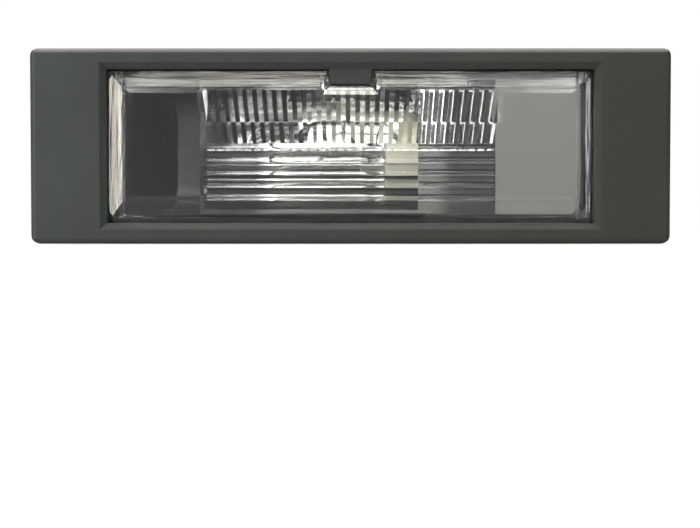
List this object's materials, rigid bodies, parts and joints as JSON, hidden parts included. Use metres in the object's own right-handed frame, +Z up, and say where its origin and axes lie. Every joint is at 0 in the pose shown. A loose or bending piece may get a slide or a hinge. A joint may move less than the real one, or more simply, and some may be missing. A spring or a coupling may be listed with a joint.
{
  "type": "number plate lamp",
  "caption": "Slim rectangular number plate lamp: dark bezel, clear fluted lens, barrel housing with twist-in wedge bulb holder, and a spring clip at one end.",
  "frame": {"origin": "middle of the bezel's back face, the face that seats on the panel", "axes": "lens faces -Y, length along X with the bulb holder at +X and the spring clip at -X, +Z up as the lamp is pictured from the front"},
  "size_m": [0.103, 0.0245, 0.0314],
  "materials": {
    "bezel": "fine matte grain, dark grey-green",
    "lens": "clear, polished, fluted on the inner face",
    "seal": "soft black rubber",
    "housing": "satin blue-black moulding",
    "reflector": "bright metallised plastic",
    "holder": "natural translucent white, satin",
    "contact": "stamped brass strip",
    "bulb_glass": "clear blown glass",
    "filament": "drawn wire, coiled",
    "lead_wire": "drawn wire",
    "spring_steel": "rolled spring steel with fine scratches"
  },
  "bodies": {
    "root": {"bezel": "bezel", "lens": "lens", "lens_seal": "seal", "housing": "housing", "reflector": "reflector", "holder_body": "holder", "holder_seal": "seal", "contact_upper": "contact", "contact_lower": "contact", "bulb_glass": "bulb_glass", "bulb_filament": "filament", "bulb_lead_upper": "lead_wire", "bulb_lead_lower": "lead_wire", "spring_clip": "spring_steel"}
  },
  "joints": []
}
